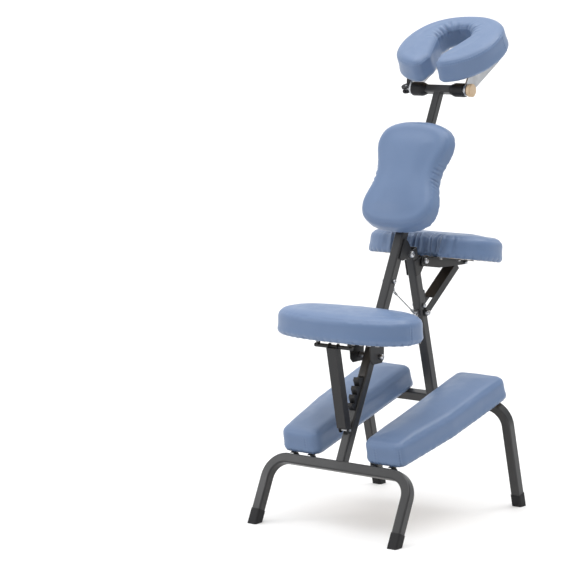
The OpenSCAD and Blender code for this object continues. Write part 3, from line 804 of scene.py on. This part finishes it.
VINYL = vinyl_material()
cradle_normal = Vector(JOINTS["cam_lever_swing"]["axis"])
PADS = {
    "seat": Pad("seat_pad", UP),
    "armrest": Pad("armrest_pad", UP),
    "left_knee_rest": Pad("left_knee_pad", UP),
    "right_knee_rest": Pad("right_knee_pad", UP),
    "chest_rest": Pad("chest_pad", REARWARD),
    "cradle": Pad("face_cushion", cradle_normal),
}
make_cover(
    "seat_cover",
    "seat",
    PADS["seat"],
    {**LOOK, "roll_in": 0.032, "roll_down": 0.026, "hem": 0.012, "seed": 2.0},
    seat_creases,
)
make_cover(
    "armrest_cover",
    "armrest",
    PADS["armrest"],
    {**LOOK, "voxel": 0.0045, "roll_in": 0.028, "roll_down": 0.024, "seed": 3.0},
    armrest_creases,
)
for seed, side in ((4.0, "left"), (5.0, "right")):
    make_cover(
        side + "_knee_cover",
        side + "_knee_rest",
        PADS[side + "_knee_rest"],
        {**LOOK, "roll_in": 0.022, "roll_down": 0.019, "seed": seed},
        knee_creases,
    )
make_cover(
    "chest_cover",
    "chest_rest",
    PADS["chest_rest"],
    {**LOOK, "voxel": 0.0045, "roll_in": 0.024, "roll_down": 0.024, "seed": 6.0},
    chest_creases,
)
make_cover(
    "face_cover",
    "cradle",
    PADS["cradle"],
    {
        **LOOK,
        "voxel": 0.004,
        "roll_in": 0.022,
        "roll_down": 0.018,
        "hem": 0.010,
        "swell": 0.006,
        "fill": 0.75,
        "seed": 8.0,
    },
    face_creases,
)


# ---- Small hardware ----------------------------------------------------------


def new_object(name, mesh_data, body, material):
    """Links a bmesh as a smooth-shaded piece that rides on a body."""
    mesh = bpy.data.meshes.new(name)
    bmesh.ops.recalc_face_normals(mesh_data, faces=mesh_data.faces)
    mesh_data.to_mesh(mesh)
    mesh_data.free()
    mesh.materials.append(material)
    mesh.set_sharp_from_angle(angle=math.radians(38))
    mesh.polygons.foreach_set("use_smooth", [True] * len(mesh.polygons))
    obj = bpy.data.objects.new(name, mesh)
    bpy.context.scene.collection.objects.link(obj)
    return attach(obj, body) if body else obj


def ring(mesh, centre, first, second, radius, sides):
    """Vertices round a centre, in the plane of two directions."""
    vertices = []
    for index in range(sides):
        angle = index * math.tau / sides
        offset = first * (radius * math.cos(angle)) + second * (radius * math.sin(angle))
        vertices.append(mesh.verts.new(centre + offset))
    return vertices


def bridge(mesh, lower, upper):
    """Joins two rings of the same size by quads."""
    count = len(lower)
    for index in range(count):
        after = (index + 1) % count
        mesh.faces.new((lower[index], lower[after], upper[after], upper[index]))


def lathe(mesh, centre, axis, profile, sides, hollow=False):
    """A turned solid, or a hollow ring; the profile is (distance along, radius) pairs."""
    first = axis.orthogonal().normalized()
    second = axis.cross(first)
    rings = [
        ring(mesh, centre + axis * along, first, second, radius, sides)
        for along, radius in profile
    ]
    for lower, upper in zip(rings, rings[1:]):
        bridge(mesh, lower, upper)
    if hollow:
        bridge(mesh, rings[-1], rings[0])
    else:
        mesh.faces.new(rings[0])
        mesh.faces.new(rings[-1])


def hexagon_ring(mesh, centre, first, second, radius, sides):
    """Vertices on a hexagon round a centre, in the plane of two directions."""
    vertices = []
    for index in range(sides):
        angle = index * math.tau / sides
        from_middle = angle % (math.pi / 3) - math.pi / 6
        reach = radius * math.cos(math.pi / 6) / math.cos(from_middle)
        offset = first * (math.cos(angle) * reach) + second * (math.sin(angle) * reach)
        vertices.append(mesh.verts.new(centre + offset))
    return vertices


def socket_dome(mesh, centre, axis, radius):
    """A domed bolt head with a hexagon socket, standing on a plane at its centre."""
    first = Vector((0, 0, 1)) if abs(axis.z) < 0.9 else Vector((0, 1, 0))
    first = (first - axis * first.dot(axis)).normalized()
    second = axis.cross(first)
    sides = 24
    dome = 0.55 * radius
    steps = 5
    rings = [ring(mesh, centre - axis * 0.0004, first, second, radius, sides)]
    for step in range(steps):
        turn = step / steps * math.radians(62)
        middle = centre + axis * (dome * math.sin(turn))
        rings.append(ring(mesh, middle, first, second, radius * math.cos(turn), sides))
    socket = 0.36 * radius
    for along in (dome * 0.86, dome * 0.25):
        rings.append(hexagon_ring(mesh, centre + axis * along, first, second, socket, sides))
    for lower, upper in zip(rings, rings[1:]):
        bridge(mesh, lower, upper)
    mesh.faces.new(rings[0])
    mesh.faces.new(rings[-1])


def bolt_ends(node):
    """The middles of the two ends of a bolt that lies along X."""
    low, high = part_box(node)
    points = coordinates(NODES[node].data)
    tip = points[points[:, 0] > high.x - 1e-4]
    centre = (tip.min(axis=0) + tip.max(axis=0)) / 2
    radius = (tip[:, 2].max() - tip[:, 2].min()) / 2
    return Vector((low.x, *centre[1:])), Vector((high.x, *centre[1:])), radius


def add_bolt_domes(material):
    """Domed socket heads on both ends of the chair's bolts."""
    for node in (
        "hinge_pin",
        "seat_pivot_bolt",
        "rear_cable_bolt",
        "front_cable_bolt",
        "armrest_pivot_bolt",
        "armrest_strut_bolt",
        "armrest_end_bolt",
    ):
        mesh = bmesh.new()
        near, far, radius = bolt_ends(node)
        socket_dome(mesh, far, X_AXIS, radius)
        socket_dome(mesh, near, -X_AXIS, radius)
        new_object(node + "_domes", mesh, NODES[node]["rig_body"], material)


def add_grip_ribs(material):
    """Fine ribs moulded round the outer half of both T-bar fittings."""
    low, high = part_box("tbar_fittings")
    radius = (high.z - low.z) / 2
    centre = (low + high) / 2
    count, pitch, raised, proud = 8, 0.0034, 0.0006, 0.0001
    rib = ((0.0002, proud), (0.0010, raised), (0.0020, raised), (0.0028, proud))
    end = high.x - 0.0008
    start = end - count * pitch
    profile = [(start, radius - raised)]
    for index in range(count):
        foot = start + index * pitch
        profile += [(foot + along, radius + height) for along, height in rib]
    profile.append((end, radius - raised))
    mesh = bmesh.new()
    for side in (-1, 1):
        lathe(mesh, centre, X_AXIS * side, profile, 48, hollow=True)
    new_object("tbar_ribs", mesh, "head_post", material)


def add_staples(material):
    """Wire staples that hold the covers to the boards' undersides."""
    crown, wire, inset, pitch = 0.0100, 0.0006, 0.0065, 0.0210
    for body, pad in PADS.items():
        if body == "cradle":
            continue
        mesh = bmesh.new()
        turn = pad.to_frame.to_3x3()
        down = turn @ Vector((0, 0, -1))
        for index in range(int(pad.girth / pitch)):
            point, way = pad.at(index * pitch, inset)
            centre = pad.to_frame @ Vector((*point, 0.0))
            along = turn @ Vector((*way, 0))
            side = along.cross(down)
            rings = []
            for step, size in ((-0.5, 0.55), (-0.46, 1.0), (0.46, 1.0), (0.5, 0.55)):
                middle = centre + along * (crown * step)
                rings.append(ring(mesh, middle, side, down, wire * size, 6))
            for lower, upper in zip(rings, rings[1:]):
                bridge(mesh, lower, upper)
            mesh.faces.new(rings[0])
            mesh.faces.new(rings[-1])
        new_object(body + "_staples", mesh, body, material)


def tube(mesh, points, radius, sides=6):
    """A closed-ended tube through a list of points."""
    rings = []
    side = None
    for index, point in enumerate(points):
        before = points[max(index - 1, 0)]
        after = points[min(index + 1, len(points) - 1)]
        way = (after - before).normalized()
        side = way.orthogonal() if side is None else side - way * side.dot(way)
        side.normalize()
        rings.append(ring(mesh, point, side, way.cross(side), radius, sides))
    for lower, upper in zip(rings, rings[1:]):
        bridge(mesh, lower, upper)
    mesh.faces.new(rings[0])
    mesh.faces.new(rings[-1])


def cable_ends():
    """The two ends of the restraint cable's CAD solid, rear one first."""
    points = coordinates(NODES["restraint_cable"].data)
    order = points[:, 1].argsort()
    rear = points[order[points[order, 1] < points[:, 1].min() + 0.006]]
    front = points[order[points[order, 1] > points[:, 1].max() - 0.006]]
    return Vector(rear.mean(axis=0)), Vector(front.mean(axis=0))


def add_cable(material):
    """A six-strand wire rope between the frames, with crimps and an eye at each end."""
    rear, front = cable_ends()
    way = (front - rear).normalized()
    side = X_AXIS
    other = way.cross(side)
    length = (front - rear).length
    mesh = bmesh.new()
    core, strand, off_axis, lay, steps = 0.0007, 0.00052, 0.00105, 0.020, 110
    tube(mesh, [rear, front], core)
    for index in range(6):
        helix = []
        for step in range(steps + 1):
            along = length * step / steps
            turn = index * math.tau / 6 + along / lay * math.tau
            outward = side * math.cos(turn) + other * math.sin(turn)
            helix.append(rear + way * along + outward * off_axis)
        tube(mesh, helix, strand, 5)
    crimp = 0.014
    profile = [(0, 0.0024), (0.0006, 0.0031)]
    for groove in (0.0036, 0.0070, 0.0104):
        profile += [(groove - 0.0010, 0.0031), (groove, 0.0025), (groove + 0.0010, 0.0031)]
    profile += [(crimp - 0.0006, 0.0031), (crimp, 0.0024)]
    eye, reach = 0.0042, 0.0085
    for end, inward in ((rear, way), (front, -way)):
        lathe(mesh, end, inward, profile, 16)
        loop = []
        for step in range(25):
            angle = step / 24 * math.tau
            away = inward * (reach * (1 - math.cos(angle)) / 2)
            across = side * (eye * math.sin(angle) * math.sin(angle / 2))
            loop.append(end - away + across)
        tube(mesh, loop, 0.00125, 8)
    cable = new_object("restraint_rope", mesh, None, material)
    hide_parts("restraint_cable")
    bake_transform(cable)


# ---- Materials on the CAD nodes ----------------------------------------------


def paint(material, *nodes):
    """Gives CAD nodes a material in place of their plain one."""
    for node in nodes:
        slots = NODES[node].material_slots
        for slot in slots:
            slot.link = "DATA"
            slot.material = material


# The second colour given to each coated steel is its edges' rub wear and painted highlight.
TUBE = coated_steel_material("powder_coated_tube", (0.024, 0.024, 0.025), (0.24, 0.24, 0.25), 0.34)
PLATE = coated_steel_material("black_coated_plate", (0.008, 0.008, 0.009), (0.07, 0.07, 0.07), 0.46)
PLASTIC = moulded_material("black_plastic", (0.005, 0.005, 0.006), 0.46, 1900)
RUBBER = moulded_material("black_rubber", (0.010, 0.010, 0.011), 0.66, 700)
ZINC = bright_metal_material("zinc_plate", (0.56, 0.57, 0.59), 0.34, (900, 900, 900))
ALUMINIUM = bright_metal_material("brushed_aluminium", (0.50, 0.51, 0.53), 0.34, (1500, 30, 1500))
WIRE = bright_metal_material("steel_wire", (0.30, 0.31, 0.32), 0.38, (300, 300, 300))
BIRCH = ((0.66, 0.49, 0.31), (0.52, 0.36, 0.21))

paint(TUBE, "rear_frame", "front_frame", "head_post")
paint(
    PLATE,
    "rear_hinge_bracket",
    "seat_rack",
    "front_hinge_knuckle",
    "armrest_ears",
    "armrest_stop",
    "armrest_strut",
    "armrest_bracket",
    "seat_bracket",
    "seat_crossbar",
    "seat_strut",
    "chest_sleeve",
    "chest_plate",
)
paint(
    PLASTIC,
    "post_collar",
    "tbar_fittings",
    "cam_lever",
    "chest_knob",
    "height_knob",
    "left_knee_clips",
    "right_knee_clips",
)
paint(RUBBER, "rear_feet", "front_feet")
paint(
    ZINC,
    "hinge_pin",
    "seat_pivot_bolt",
    "rear_cable_bolt",
    "front_cable_bolt",
    "armrest_pivot_bolt",
    "armrest_strut_bolt",
    "armrest_end_bolt",
    "armrest_screws",
    "seat_screws",
    "chest_screws",
    "cradle_screws",
    "seat_strut_bolt",
    "clamp_rod",
    "lever_pin",
)
paint(ALUMINIUM, "cradle_arms", "cradle_washers")
paint(beech_material(), "wood_knob")
for body, board in (
    ("seat", "seat_board"),
    ("armrest", "armrest_board"),
    ("left_knee_rest", "left_knee_board"),
    ("right_knee_rest", "right_knee_board"),
    ("chest_rest", "chest_board"),
    ("cradle", "cradle_base"),
):
    paint(plywood_material("plywood_" + board, turn_flat(PADS[body].normal), *BIRCH), board)

add_bolt_domes(ZINC)
add_grip_ribs(PLASTIC)
add_staples(ZINC)
add_cable(WIRE)


# ---- Studio --------------------------------------------------------------------


def add_floor():
    """A pale floor that runs to the horizon."""
    reach = 900
    mesh = bpy.data.meshes.new("floor")
    corners = [(-reach, -reach, 0), (reach, -reach, 0), (reach, reach, 0), (-reach, reach, 0)]
    mesh.from_pydata(corners, [], [(0, 1, 2, 3)])
    mesh.materials.append(floor_material())
    floor = bpy.data.objects.new("floor", mesh)
    bpy.context.scene.collection.objects.link(floor)


def add_light(name, place, target, size, watts):
    """A square soft box that looks at a target."""
    data = bpy.data.lights.new(name, "AREA")
    data.shape = "SQUARE"
    data.size = size
    data.energy = watts
    light = bpy.data.objects.new(name, data)
    light.location = place
    light.rotation_euler = (Vector(target) - Vector(place)).to_track_quat("-Z", "Y").to_euler()
    bpy.context.scene.collection.objects.link(light)


def add_sun(towards, strength, softness):
    """A large, far soft light, which lights the whole floor evenly."""
    data = bpy.data.lights.new("sky_panel", "SUN")
    data.energy = strength
    data.angle = math.radians(softness)
    light = bpy.data.objects.new("sky_panel", data)
    light.rotation_euler = Vector(towards).to_track_quat("-Z", "Y").to_euler()
    bpy.context.scene.collection.objects.link(light)


def add_world(towards, dim, bright):
    """A white surround that is brightest one way and dims to the opposite way."""
    world = bpy.data.worlds.new("studio")
    world.use_nodes = True
    tree = world.node_tree
    direction = tree.nodes.new("ShaderNodeTexCoord").outputs["Generated"]
    values = {0: direction, 1: Vector(towards).normalized()}
    facing = add(tree, "ShaderNodeVectorMath", values, operation="DOT_PRODUCT").outputs["Value"]
    strength = remap(tree, facing, (-1, 1), (dim, bright))
    values = {"Color": (0.975, 0.985, 1.0, 1), "Strength": strength}
    set_sockets(tree.nodes["Background"], values)
    bpy.context.scene.world = world


def add_camera():
    """The photograph's viewpoint: behind and to the right, a little above the seat."""
    azimuth, elevation = math.radians(37.14), math.radians(7.708)
    level = math.cos(elevation)
    back = Vector((math.sin(azimuth) * level, -math.cos(azimuth) * level, math.sin(elevation)))
    data = bpy.data.cameras.new("camera")
    data.sensor_width = 36
    data.lens = 138.3
    data.clip_end = 3000
    camera = bpy.data.objects.new("camera", data)
    camera.location = (3.0679, -4.5194, 1.3022)
    camera.rotation_mode = "QUATERNION"
    camera.rotation_quaternion = (-back).to_track_quat("-Z", "Y")
    bpy.context.scene.collection.objects.link(camera)
    bpy.context.scene.camera = camera


middle = (CAD_BOX[0] + CAD_BOX[1]) / 2
add_floor()
add_world((-0.7, 0.6, 0.5), 0.08, 1.12)
add_sun((0.0, 0.15, -1.0), 2.6, 75)
add_light("left_box", (-2.6, -2.6, 1.9), middle, 0.8, 15)
add_light("top_box", (1.0, 1.2, 3.6), middle, 1.2, 22)
add_light("camera_box", (3.4, -3.4, 2.6), middle, 0.5, 12)
add_camera()
bpy.context.scene.view_settings.view_transform = "Standard"
